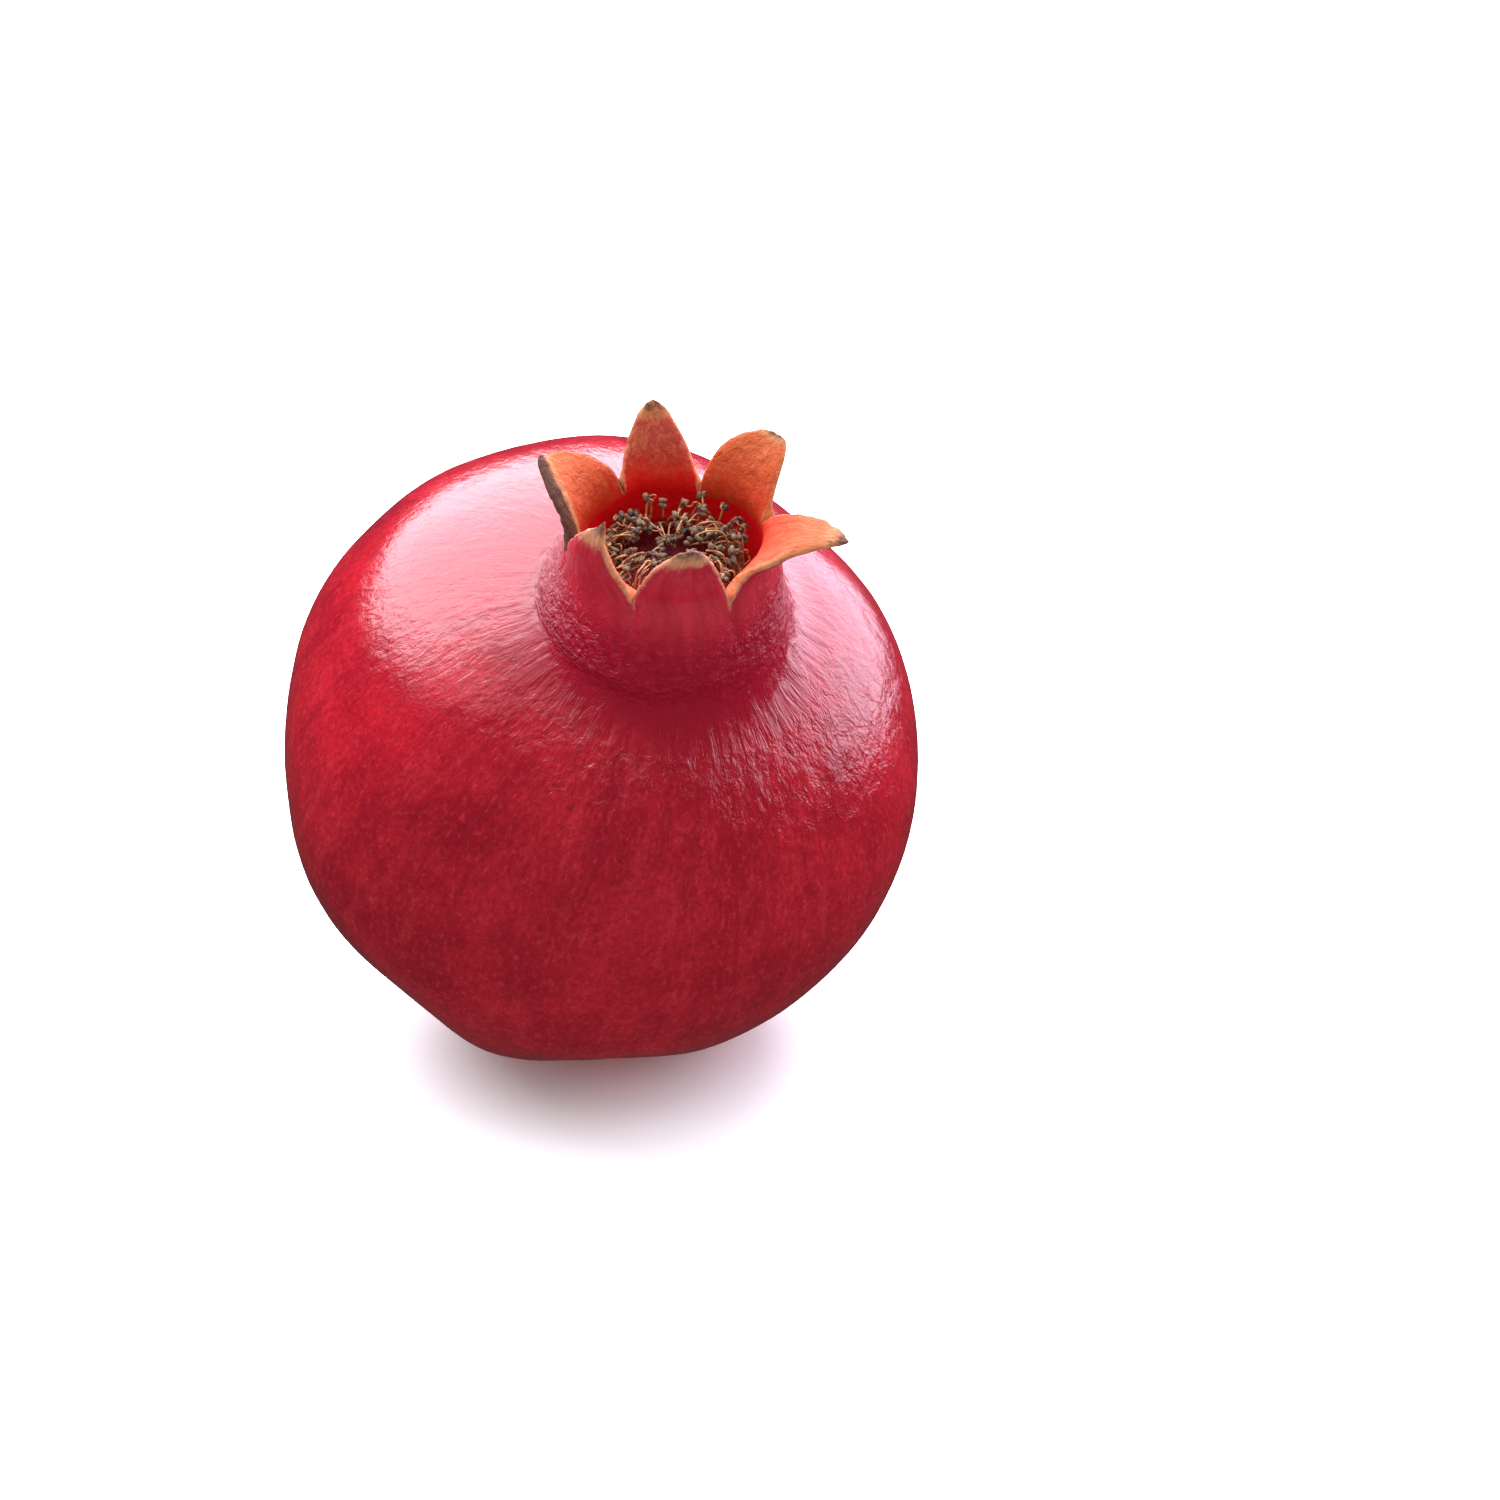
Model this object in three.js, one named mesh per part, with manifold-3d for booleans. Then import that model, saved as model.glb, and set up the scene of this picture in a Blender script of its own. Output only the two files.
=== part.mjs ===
// A whole ripe pomegranate, lying on a small flat spot with its crown tipped up and forward.
// Millimetres, +Z up, the origin at the middle of the flat spot. The crown leans towards -Y.
// Three pieces: the fruit, whose rind and crown grew as one, the tuft of dried stamens inside
// the crown, and the short woody stub of the stem at the other end.

import * as THREE from "three";
import { mergeVertices } from "three/addons/utils/BufferGeometryUtils.js";
import Module from "manifold-3d";

const wasm = await Module();
wasm.setup();

const { sin, cos, abs, sqrt, exp, PI } = Math;
const radians = THREE.MathUtils.degToRad;
const mix = THREE.MathUtils.lerp;
const smooth = THREE.MathUtils.smoothstep;

// The body: a slightly flattened ball. Its axis runs from the stem to the crown.
const BODY_RADIUS = 48.3;
const CROWN_HALF_HEIGHT = 43.5;
const STEM_HALF_HEIGHT = 45.5;
const BODY_SQUARENESS = 2.12; // 2 is an ellipsoid
const REST_HEIGHT = 45.6; // from the flat spot to the body's centre
const BODY_AXIS = { lean: 33.7, towards: -62.2 }; // degrees from upright, and the way it leans
const CROWN_AXIS = { lean: 16.7, towards: -105.4 };

// Blunt ribs run from stem to crown, in line with the sepals.
const RIB_COUNT = 6;
const RIB_AZIMUTH = 35;
const RIB_SHARE = 0.007;

// Flats (negative) and bulges where the fruit pressed on others as it grew.
const SWELLINGS = [
  { azimuth: 48, polar: 53, share: -0.038, spread: 18 },
  { azimuth: 134, polar: 68, share: 0.013, spread: 14 },
  { azimuth: 160, polar: 86, share: 0.009, spread: 14 },
  { azimuth: 232, polar: 121, share: -0.021, spread: 13 },
  { azimuth: 256, polar: 122, share: 0.018, spread: 9 },
  { azimuth: 281, polar: 117, share: -0.044, spread: 12 },
];

// The dimple that the stem stands in.
const DIMPLE_DEPTH = 1.6;
const DIMPLE_SPREAD = 10; // degrees

// The crown: a bent tube that opens into six sepals.
const SHOULDER_POLAR = 33; // degrees from the axis, where the body turns up into the tube
const SHOULDER_HANDLE = 7.5;
const NECK_HANDLE = 3.4;
const TUBE_FOOT = 38; // from the body's centre to the start of the bent centreline
const NECK_ALONG = 8.4; // along the centreline from the foot
const RIM_ALONG = 16.3;
const NECK_RADIUS = 13.9; // to the middle of the wall, as the next one is
const RIM_RADIUS = 14.2;
const NECK_WALL = 4.2;
const RIM_WALL = 2.4;
const FLARE_POWER = 1.8; // above 1, the tube widens and thickens mostly at its foot
const FOOT_AZIMUTH = 235; // the side to which the tube's foot bulges, over the body
const FOOT_BULGE = 2.9; // outwards
const FOOT_DROP = 2.2; // down the centreline
const FOOT_HANDLE = 2.4; // instead of the neck's handle, for a tighter fillet there
const FOOT_NARROWING = 1.5; // above 1, the bulge keeps more to its side
const FLOOR_ALONG = 3;
const FLOOR_RADIUS = 9;
const SEAM_DEPTH = 0.4; // the crease that runs down the tube below each notch
const SEAM_WIDTH = 0.1; // as a share of half a sepal
const SEAM_START = 0.1; // share of the tube's length where it begins
const SEAM_FULL = 0.8; // and where it has its whole depth

// The notches between sepals: their azimuth, and how far above the rim's plane each one ends.
const NOTCHES = [
  { azimuth: 13.6, lift: -0.9 },
  { azimuth: 74, lift: -2.7 },
  { azimuth: 122, lift: -0.4 },
  { azimuth: 185.5, lift: -0.6 },
  { azimuth: 250, lift: 0.7 },
  { azimuth: 303, lift: -1.3 },
];

// One sepal after each notch. Its spine runs from the rim, pulled by a bend, to the tip, each given
// as out from the rim and up from it. A small taper gives a broad sepal with round shoulders, and
// a small shoulder one that narrows early.
const SEPALS = [
  { bend: [1, 6], tip: [4.4, 9.9], sideways: -3.6, taper: 0.48, shoulder: 1.6 },
  { bend: [1, 6], tip: [3, 12], sideways: -0.5, taper: 0.62, shoulder: 1.3 },
  { bend: [-0.9, 7], tip: [6, 9.8], sideways: 0.7, taper: 0.7, shoulder: 1.7 },
  { bend: [0.9, 7], tip: [-1.5, 12.5], sideways: 3.1, taper: 1.15, shoulder: 1.3 },
  { bend: [1.8, 6], tip: [2.5, 11.6], sideways: 1.8, taper: 0.52, shoulder: 1.4 },
  { bend: [4.6, 7.2], tip: [13.6, 7], sideways: -0.7, taper: 0.64, shoulder: 0.68 },
];
const SEPAL_FLATTENING = 0.8; // how much flatter across than the tube a sepal is at its tip
const TIP_WALL_SHARE = 0.62;
const SEPAL_SETTLING = 0.35; // the share of its height over which a sepal leaves the tube's line
const EDGE_THINNING = 0.25; // the share of its height over which its edges become thin

// The tuft of dried stamens: a thin dish lines the cup, and the stamens rise from its edge.
const STAMEN_COUNT = 72;
const STAMEN_SEED = 11;
const STAMEN_FOOT = 7.2; // where on the dish a stamen grows, along the centreline
const STAMEN_RISE = 3.6; // how far it follows the wall before it curls in
const STAMEN_REACH = [3.2, 10.4]; // from the centreline to its end
const STAMEN_HEIGHT = [14, 17]; // of its end, along the centreline
const STAMEN_SWING = 0.3; // radians to either side
const STAMEN_RADIUS = 0.36;
const ANTHER_RADIUS = 0.9;
const ANTHER_SHARE = 0.24; // of a stamen's length
const DISH_THICKNESS = 1;
const PIECE_GAP = 0.4; // between the fruit and each of the other two pieces

// The stub of the stem, from its cut end to its foot in the dimple.
const STUB_LENGTH = 5;
const STUB_RADIUS = 2.7;
const STUB_FOOT_RADIUS = 3.9;

// How finely the surfaces are cut into facets.
const COLUMNS_PER_SEPAL = 10;
const BODY_ROWS = 24;
const SHOULDER_ROWS = 5;
const TUBE_ROWS = 4;
const SEPAL_ROWS = 7;
const CUP_ROWS = 4;
const FLOOR_ROWS = 3;
const ROW_CROWDING = 1.2; // above 1, a sepal's rows crowd towards the rim
const SMALL_SIDES = 24; // of the dish and the stub
const STAMEN_ROWS = 8;
const STAMEN_SIDES = 4;

const COLUMNS = COLUMNS_PER_SEPAL * SEPALS.length;
const NEARBY = 0.01; // a small step that gives the direction of a curve at its end

// Directions and frames

function leaning({ lean, towards }) {
  const [a, b] = [radians(lean), radians(towards)];
  return new THREE.Vector3(sin(a) * cos(b), sin(a) * sin(b), cos(a));
}

// The fruit's own frame in the part's frame: +Z along the body's axis, azimuths counted from +X.
const bodyAxis = leaning(BODY_AXIS);
const crownAxisInPart = leaning(CROWN_AXIS);
const rightOfCrown = new THREE.Vector3(1, 0, 0).projectOnPlane(crownAxisInPart).normalize();
const unbend = new THREE.Quaternion().setFromUnitVectors(crownAxisInPart, bodyAxis);
const rightOfBody = rightOfCrown.clone().applyQuaternion(unbend);
const fruitMatrix = new THREE.Matrix4()
  .makeBasis(rightOfBody, bodyAxis.clone().cross(rightOfBody), bodyAxis)
  .setPosition(0, 0, REST_HEIGHT);

// In the fruit's frame the tube's centreline is an arc that turns from +Z to the crown's axis.
const toFruit = fruitMatrix.clone().invert();
const crownAxis = crownAxisInPart.clone().transformDirection(toFruit);
const bendAxis = new THREE.Vector3(0, 0, 1).cross(crownAxis).normalize();
const bendAngle = new THREE.Vector3(0, 0, 1).angleTo(crownAxis);
const bendSide = new THREE.Vector3(crownAxis.x, crownAxis.y, 0).normalize();

// The crown's frame at a distance along the centreline, which runs straight on past the rim.
function crownFrame(along) {
  const turn = bendAngle * Math.min(along / RIM_ALONG, 1);
  const radius = RIM_ALONG / bendAngle;
  const origin = new THREE.Vector3(0, 0, TUBE_FOOT + radius * sin(turn));
  origin.addScaledVector(bendSide, radius * (1 - cos(turn)));
  const spin = new THREE.Quaternion().setFromAxisAngle(bendAxis, turn);
  const axis = new THREE.Vector3(0, 0, 1).applyQuaternion(spin);
  origin.addScaledVector(axis, Math.max(along - RIM_ALONG, 0));
  return { origin, spin, axis };
}

const rimFrame = crownFrame(RIM_ALONG);

// The body's surface

function bodyPoint(azimuth, polar) {
  const [s, c] = [sin(polar), cos(polar)];
  const half = c > 0 ? CROWN_HALF_HEIGHT : STEM_HALF_HEIGHT;
  const n = BODY_SQUARENESS;
  let radius = ((s / BODY_RADIUS) ** n + abs(c / half) ** n) ** (-1 / n);
  const towards = new THREE.Vector3(s * cos(azimuth), s * sin(azimuth), c);
  let share = 1 + RIB_SHARE * s * s * cos(RIB_COUNT * (azimuth - radians(RIB_AZIMUTH)));
  for (const swelling of SWELLINGS) {
    const [a, p] = [radians(swelling.azimuth), radians(swelling.polar)];
    const middle = new THREE.Vector3(sin(p) * cos(a), sin(p) * sin(a), cos(p));
    const away = towards.angleTo(middle) / radians(swelling.spread);
    share += swelling.share * exp(-away * away);
  }
  radius *= share;
  radius -= DIMPLE_DEPTH * exp(-(((PI - polar) / radians(DIMPLE_SPREAD)) ** 2));
  return towards.multiplyScalar(radius);
}

// The crown's tube

// The sepal that holds a column, and how far across it the column is, from -1 to 1. Columns
// crowd towards the notches, where the sepals' edges are.
function placeAcross(column) {
  const sepal = Math.floor(column / COLUMNS_PER_SEPAL);
  const share = (column % COLUMNS_PER_SEPAL) / COLUMNS_PER_SEPAL;
  return { sepal, across: sin((share * 2 - 1) * PI / 2) };
}

function notchAfter(sepal) {
  const next = NOTCHES[(sepal + 1) % NOTCHES.length];
  return { ...next, azimuth: next.azimuth + (sepal + 1 === NOTCHES.length ? 360 : 0) };
}

function azimuthOf(column) {
  const { sepal, across } = placeAcross(column);
  return radians(mix(NOTCHES[sepal].azimuth, notchAfter(sepal).azimuth, (across + 1) / 2));
}

function rimLift(column) {
  const { sepal, across } = placeAcross(column);
  return mix(NOTCHES[sepal].lift, notchAfter(sepal).lift, (across + 1) / 2);
}

// 1 in the crease below a notch, falling to 0 beside it.
function crease(column) {
  return exp(-(((1 - abs(placeAcross(column).across)) / SEAM_WIDTH) ** 2));
}

function around(frame, azimuth, radius) {
  const outward = new THREE.Vector3(cos(azimuth), sin(azimuth), 0).applyQuaternion(frame.spin);
  return frame.origin.clone().addScaledVector(outward, radius);
}

// How much of the foot's bulge falls to a column, from 0 to 1.
function bulgeOf(column) {
  return ((1 + cos(azimuthOf(column) - radians(FOOT_AZIMUTH))) / 2) ** FOOT_NARROWING;
}

// A point on the tube's outer face (side 1) or inner face (side -1), from the neck at 0 to the rim at 1.
function tubePoint(column, share, side) {
  const flare = (1 - share) ** FLARE_POWER;
  const bulge = side > 0 ? bulgeOf(column) * flare : 0;
  const along = mix(NECK_ALONG, RIM_ALONG + rimLift(column), share) - FOOT_DROP * bulge;
  const wall = mix(RIM_WALL, NECK_WALL, flare);
  let radius = mix(RIM_RADIUS, NECK_RADIUS, flare) + side * wall / 2 + FOOT_BULGE * bulge;
  if (side > 0) radius -= SEAM_DEPTH * crease(column) * smooth(share, SEAM_START, SEAM_FULL);
  return around(crownFrame(along), azimuthOf(column), radius);
}

// The fillet where the body turns up into the tube.
function shoulderPoint(column, share) {
  const [azimuth, polar] = [azimuthOf(column), radians(SHOULDER_POLAR)];
  const start = bodyPoint(azimuth, polar);
  const step = bodyPoint(azimuth, polar - NEARBY);
  const end = tubePoint(column, 0, 1);
  const above = tubePoint(column, NEARBY, 1);
  const pull = step.sub(start).setLength(SHOULDER_HANDLE).add(start);
  const neckHandle = mix(NECK_HANDLE, FOOT_HANDLE, bulgeOf(column));
  const push = above.sub(end).setLength(-neckHandle).add(end);
  return new THREE.CubicBezierCurve3(start, pull, push, end).getPoint(share);
}

// The cup inside the tube, or a surface inset from it, from the neck at 0 down to the edge of
// the floor at 1.
function cupPoint(azimuth, share, inset = 0) {
  const turn = share * PI / 2;
  const along = mix(NECK_ALONG, FLOOR_ALONG + inset, sin(turn));
  const radius = mix(FLOOR_RADIUS, NECK_RADIUS - NECK_WALL / 2 - inset, cos(turn));
  return around(crownFrame(along), azimuth, radius);
}

// The sepals

// A point on a sepal's outer face (side 1), inner face (side -1) or middle (side 0). `up` runs
// from 0 at the rim to 1 at the tip, and `across` from -1 to 1.
function sepalPoint(sepal, across, up, side) {
  const { bend, tip, sideways, taper, shoulder } = SEPALS[sepal];
  const [from, to] = [NOTCHES[sepal], notchAfter(sepal)];
  const azimuth = radians((from.azimuth + to.azimuth) / 2);
  const lift = (from.lift + to.lift) / 2;
  const spine = new THREE.QuadraticBezierCurve(
    new THREE.Vector2(0, lift), new THREE.Vector2(...bend), new THREE.Vector2(...tip));
  const at = spine.getPoint(up);
  const heading = spine.getTangent(up);
  const settled = smooth(up, 0, SEPAL_SETTLING);
  const lean = Math.atan2(heading.x, heading.y) * settled;
  const halfWidth = RIM_RADIUS * radians(to.azimuth - from.azimuth) / 2
    * (1 - up ** shoulder) ** taper;
  const curl = RIM_RADIUS * (1 + SEPAL_FLATTENING * up * settled);
  const turn = across * halfWidth / curl;
  const edge = mix(1, sqrt(1 - across ** 4), smooth(up, 0, EDGE_THINNING)) * sqrt(1 - up ** 6);
  const wall = mix(RIM_WALL, RIM_WALL * TIP_WALL_SHARE, up) * edge;
  const radius = curl + side * wall / 2;
  const local = new THREE.Vector3(
    RIM_RADIUS + at.x * settled + (radius * cos(turn) - curl) * cos(lean),
    radius * sin(turn) + sideways * up * up,
    at.y + (curl - radius * cos(turn)) * sin(lean) + (to.lift - from.lift) / 2 * across * (1 - up));
  return local.applyAxisAngle(new THREE.Vector3(0, 0, 1), azimuth)
    .applyQuaternion(rimFrame.spin).add(rimFrame.origin);
}

// Meshes. Rings run anticlockwise seen from the crown, and each is joined to the one before it.

class Surface {
  constructor() {
    this.points = [];
    this.faces = [];
  }

  add(point) {
    this.points.push(point.x, point.y, point.z);
    return this.points.length / 3 - 1;
  }

  ring(count, place) {
    return Array.from({ length: count }, (_, i) => this.add(place(i)));
  }

  // A ring whose points are all one.
  pole(count, point) {
    return new Array(count).fill(this.add(point));
  }

  triangle(a, b, c) {
    if (a !== b && b !== c && c !== a) this.faces.push(a, b, c);
  }

  // Joins two rows of the same length.
  band(lower, upper, closed) {
    const count = closed ? lower.length : lower.length - 1;
    for (let i = 0; i < count; i++) {
      const next = (i + 1) % lower.length;
      this.triangle(lower[i], lower[next], upper[next]);
      this.triangle(lower[i], upper[next], upper[i]);
    }
  }

  stack(rings) {
    rings.slice(1).forEach((ring, i) => this.band(rings[i], ring, true));
  }

  geometry() {
    return new THREE.BufferGeometry()
      .setAttribute("position", new THREE.Float32BufferAttribute(this.points, 3))
      .setIndex(this.faces);
  }
}

// The fruit

// A sepal's two faces grow from the rim row by row. They share the points along its edges.
function addSepal(surface, sepal, outerRim, innerRim) {
  const n = COLUMNS_PER_SEPAL;
  const acrossAt = (i) => sin((2 * i / n - 1) * PI / 2);
  const columns = Array.from({ length: n + 1 }, (_, i) => (sepal * n + i) % COLUMNS);
  let outer = columns.map((column) => outerRim[column]);
  let inner = columns.map((column) => innerRim[column]);
  for (let row = 1; row < SEPAL_ROWS; row++) {
    const up = sin((row / SEPAL_ROWS) * PI / 2) ** ROW_CROWDING;
    const place = (side) => (i) => sepalPoint(sepal, acrossAt(i), up, side);
    const outerNext = surface.ring(n + 1, place(1));
    const middles = surface.ring(n - 1, (i) => place(-1)(i + 1));
    const innerNext = [outerNext[0], ...middles, outerNext[n]];
    if (row === 1) {
      surface.triangle(inner[0], outer[0], outerNext[0]);
      surface.triangle(outer[n], inner[n], outerNext[n]);
    }
    surface.band(outer, outerNext, false);
    surface.band(innerNext, inner, false);
    [outer, inner] = [outerNext, innerNext];
  }
  const tip = surface.pole(n + 1, sepalPoint(sepal, 0, 1, 0));
  surface.band(outer, tip, false);
  surface.band(tip, inner, false);
}

function fruitGeometry() {
  const surface = new Surface();
  const rings = (count, place) => Array.from({ length: count + 1 }, (_, row) =>
    surface.ring(COLUMNS, (column) => place(column, row / count)));
  const body = rings(BODY_ROWS, (column, share) =>
    bodyPoint(azimuthOf(column), mix(PI, radians(SHOULDER_POLAR), share)));
  const shoulder = rings(SHOULDER_ROWS, shoulderPoint);
  const tube = rings(TUBE_ROWS, (column, share) => tubePoint(column, share, 1));
  const bore = rings(TUBE_ROWS, (column, share) => tubePoint(column, 1 - share, -1));
  const cup = rings(CUP_ROWS, (column, share) => cupPoint(azimuthOf(column), share));
  const floorFrame = crownFrame(FLOOR_ALONG);
  const floor = rings(FLOOR_ROWS, (column, share) =>
    around(floorFrame, azimuthOf(column), FLOOR_RADIUS * (1 - share)));
  const stemEnd = surface.pole(COLUMNS, bodyPoint(0, PI));
  const floorMiddle = surface.pole(COLUMNS, floorFrame.origin);
  surface.stack([stemEnd, ...body.slice(1), ...shoulder.slice(1), ...tube.slice(1)]);
  surface.stack([...bore, ...cup.slice(1), ...floor.slice(1, -1), floorMiddle]);
  SEPALS.forEach((_, sepal) => addSepal(surface, sepal, tube.at(-1), bore[0]));
  return surface.geometry();
}

// Booleans

function solid(geometry) {
  const bare = geometry.clone();
  bare.deleteAttribute("normal");
  bare.deleteAttribute("uv");
  const merged = mergeVertices(bare, 1e-4);
  return new wasm.Manifold(new wasm.Mesh({
    numProp: 3,
    vertProperties: new Float32Array(merged.getAttribute("position").array),
    triVerts: new Uint32Array(merged.index.array),
  }));
}

function geometryOf(made) {
  const mesh = made.getMesh();
  return new THREE.BufferGeometry()
    .setAttribute("position", new THREE.BufferAttribute(mesh.vertProperties, 3))
    .setIndex(new THREE.BufferAttribute(mesh.triVerts, 1));
}

// Takes off what would lie below the surface that the fruit rests on.
function restOnFloor(fruit) {
  const size = 4 * BODY_RADIUS;
  const below = new THREE.BoxGeometry(size, size, size);
  below.translate(0, 0, -size / 2).applyMatrix4(toFruit);
  return fruit.subtract(solid(below));
}

// The stamens

// A repeatable run of draws between a low and a high value.
function seededDraws(seed) {
  let state = seed;
  return (low, high) => {
    state = (state * 16807) % 2147483647;
    return mix(low, high, state / 2147483647);
  };
}

function dishGeometry() {
  const surface = new Surface();
  const ring = (share, inset) => surface.ring(SMALL_SIDES, (i) =>
    cupPoint(i / SMALL_SIDES * 2 * PI, share, inset));
  const shares = Array.from({ length: CUP_ROWS + 1 }, (_, row) => row / CUP_ROWS);
  const [outside, inside] = [PIECE_GAP, PIECE_GAP + DISH_THICKNESS];
  surface.stack([
    surface.pole(SMALL_SIDES, crownFrame(FLOOR_ALONG + outside).origin),
    ...shares.toReversed().map((share) => ring(share, outside)),
    ...shares.map((share) => ring(share, inside)),
    surface.pole(SMALL_SIDES, crownFrame(FLOOR_ALONG + inside).origin),
  ]);
  return surface.geometry();
}

// A stamen rises along the wall, curls in over the cup and ends in its anther.
function stamenCurve(azimuth, draw) {
  const root = NECK_RADIUS - NECK_WALL / 2 - PIECE_GAP - DISH_THICKNESS / 2;
  const reach = mix(...STAMEN_REACH, sqrt(draw(0, 1)));
  const height = draw(...STAMEN_HEIGHT);
  const swing = draw(-STAMEN_SWING, STAMEN_SWING);
  const place = (along, turn, radius) => around(crownFrame(along), azimuth + turn, radius);
  const end = place(height, swing, reach);
  return new THREE.CatmullRomCurve3([
    place(STAMEN_FOOT, 0, root),
    place(STAMEN_FOOT + STAMEN_RISE, swing * 0.3, root - draw(0.2, 1.2)),
    place(height - draw(1.4, 2.4), swing * 0.7, mix(root, reach, 0.45)),
    end,
    end.clone().add(new THREE.Vector3(draw(-1.3, 1.3), draw(-1.3, 1.3), draw(-0.6, 1.6))),
  ]);
}

// A tube along a curve that swells into an anther at its end.
function stamenGeometry(curve) {
  const surface = new Surface();
  const frames = curve.computeFrenetFrames(STAMEN_ROWS, false);
  const rings = [surface.pole(STAMEN_SIDES, curve.getPointAt(0))];
  for (let row = 1; row < STAMEN_ROWS; row++) {
    const share = row / STAMEN_ROWS;
    const radius = share > 1 - ANTHER_SHARE ? ANTHER_RADIUS : STAMEN_RADIUS;
    rings.push(surface.ring(STAMEN_SIDES, (i) => {
      const turn = i / STAMEN_SIDES * 2 * PI;
      return curve.getPointAt(share)
        .addScaledVector(frames.normals[row], cos(turn) * radius)
        .addScaledVector(frames.binormals[row], sin(turn) * radius);
    }));
  }
  surface.stack([...rings, surface.pole(STAMEN_SIDES, curve.getPointAt(1))]);
  return surface.geometry();
}

function stamensGeometry() {
  const draw = seededDraws(STAMEN_SEED);
  const made = [solid(dishGeometry())];
  for (let i = 0; i < STAMEN_COUNT; i++) {
    const azimuth = (i + draw(-0.35, 0.35)) / STAMEN_COUNT * 2 * PI;
    made.push(solid(stamenGeometry(stamenCurve(azimuth, draw))));
  }
  return geometryOf(wasm.Manifold.union(made));
}

// The stem

// The foot follows the dimple, and the stub narrows to its flat cut end.
function stubGeometry() {
  const surface = new Surface();
  const footPolar = Math.asin(STUB_FOOT_RADIUS / STEM_HALF_HEIGHT);
  const footPoint = (azimuth, share) => {
    const point = bodyPoint(azimuth, PI - footPolar * share);
    return point.setLength(point.length() + PIECE_GAP);
  };
  const end = footPoint(0, 0).z - STUB_LENGTH;
  const ring = (place) => surface.ring(SMALL_SIDES, (i) => place(i / SMALL_SIDES * 2 * PI));
  const level = (radius, z) => ring((azimuth) =>
    new THREE.Vector3(radius * cos(azimuth), radius * sin(azimuth), z));
  surface.stack([
    surface.pole(SMALL_SIDES, new THREE.Vector3(0, 0, end)),
    level(STUB_RADIUS, end),
    level(STUB_RADIUS, end + STUB_LENGTH * 0.45),
    level(mix(STUB_RADIUS, STUB_FOOT_RADIUS, 0.4), end + STUB_LENGTH * 0.72),
    ring((azimuth) => footPoint(azimuth, 1)),
    ring((azimuth) => footPoint(azimuth, 0.5)),
    surface.pole(SMALL_SIDES, footPoint(0, 0)),
  ]);
  return surface.geometry();
}

// The assembly

function mesh(name, geometry, color, roughness) {
  const material = new THREE.MeshStandardMaterial({ color, roughness, metalness: 0 });
  const made = new THREE.Mesh(geometry, material);
  made.name = name;
  return made;
}

const pomegranate = new THREE.Group();
pomegranate.applyMatrix4(fruitMatrix);
pomegranate.add(
  mesh("fruit", geometryOf(restOnFloor(solid(fruitGeometry()))), 0xa81c32, 0.35),
  mesh("stamens", stamensGeometry(), 0x5c3d2c, 0.85),
  mesh("stem_stub", geometryOf(solid(stubGeometry())), 0x7a5a3c, 0.85),
);

export default pomegranate;
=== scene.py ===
"""A whole ripe pomegranate on a pale floor, under soft studio lights.

The rind and the crown are one fine mesh, laid out from the same sizes as the part's solids. The
stamens are dry curled threads with two-lobed heads, and the stem is a ribbed woody stub.
Sizes are in millimetres and become metres when a mesh is made.
"""

import bpy
import numpy as np
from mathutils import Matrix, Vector, noise


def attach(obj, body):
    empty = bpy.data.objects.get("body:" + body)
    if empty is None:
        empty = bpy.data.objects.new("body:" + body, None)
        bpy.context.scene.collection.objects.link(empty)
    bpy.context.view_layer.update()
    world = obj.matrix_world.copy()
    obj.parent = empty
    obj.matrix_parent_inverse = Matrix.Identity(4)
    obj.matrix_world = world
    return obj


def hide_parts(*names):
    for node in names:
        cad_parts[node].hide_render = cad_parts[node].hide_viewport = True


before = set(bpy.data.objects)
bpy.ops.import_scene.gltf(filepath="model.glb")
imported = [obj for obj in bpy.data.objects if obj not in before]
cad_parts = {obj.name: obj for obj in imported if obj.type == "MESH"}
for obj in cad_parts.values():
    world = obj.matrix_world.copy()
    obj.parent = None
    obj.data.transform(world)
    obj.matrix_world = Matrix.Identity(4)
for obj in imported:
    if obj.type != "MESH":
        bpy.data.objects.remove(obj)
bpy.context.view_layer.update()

MM = 0.001

# The body, a slightly flattened ball whose axis runs from the stem to the crown.
BODY_RADIUS = 48.3
CROWN_HALF_HEIGHT = 43.5
STEM_HALF_HEIGHT = 45.5
BODY_SQUARENESS = 2.12
REST_HEIGHT = 45.6
BODY_AXIS = (33.7, -62.2)  # degrees from upright, and the way it leans
CROWN_AXIS = (16.7, -105.4)

RIB_COUNT = 6
RIB_AZIMUTH = 35
RIB_SHARE = 0.007

# Azimuth, polar angle, share of the radius and spread in degrees of each flat or bulge.
SWELLINGS = [
    (48, 53, -0.038, 18),
    (134, 68, 0.013, 14),
    (160, 86, 0.009, 14),
    (232, 121, -0.021, 13),
    (256, 122, 0.018, 9),
    (281, 117, -0.044, 12),
]

DIMPLE_DEPTH = 1.6
DIMPLE_SPREAD = 10

# The crown, a bent tube that opens into six sepals. Each handle is how strongly the fillet between
# body and tube keeps the direction that it has at that end.
SHOULDER_POLAR = 33
SHOULDER_HANDLE = 7.5
TUBE_FOOT = 38
NECK_HANDLE = 3.4
NECK_ALONG = 8.4
RIM_ALONG = 16.3
NECK_RADIUS = 13.9
RIM_RADIUS = 14.2
NECK_WALL = 4.2
RIM_WALL = 2.4
FLARE_POWER = 1.8
FOOT_AZIMUTH = 235  # the side to which the tube's foot bulges, over the body
FOOT_BULGE = 2.9
FOOT_DROP = 2.2
FOOT_HANDLE = 2.4
FOOT_NARROWING = 1.5
FLOOR_ALONG = 3
FLOOR_RADIUS = 9
SEAM_DEPTH = 0.4
SEAM_WIDTH = 0.1  # of half a sepal
SEAM_START = 0.1
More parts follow.
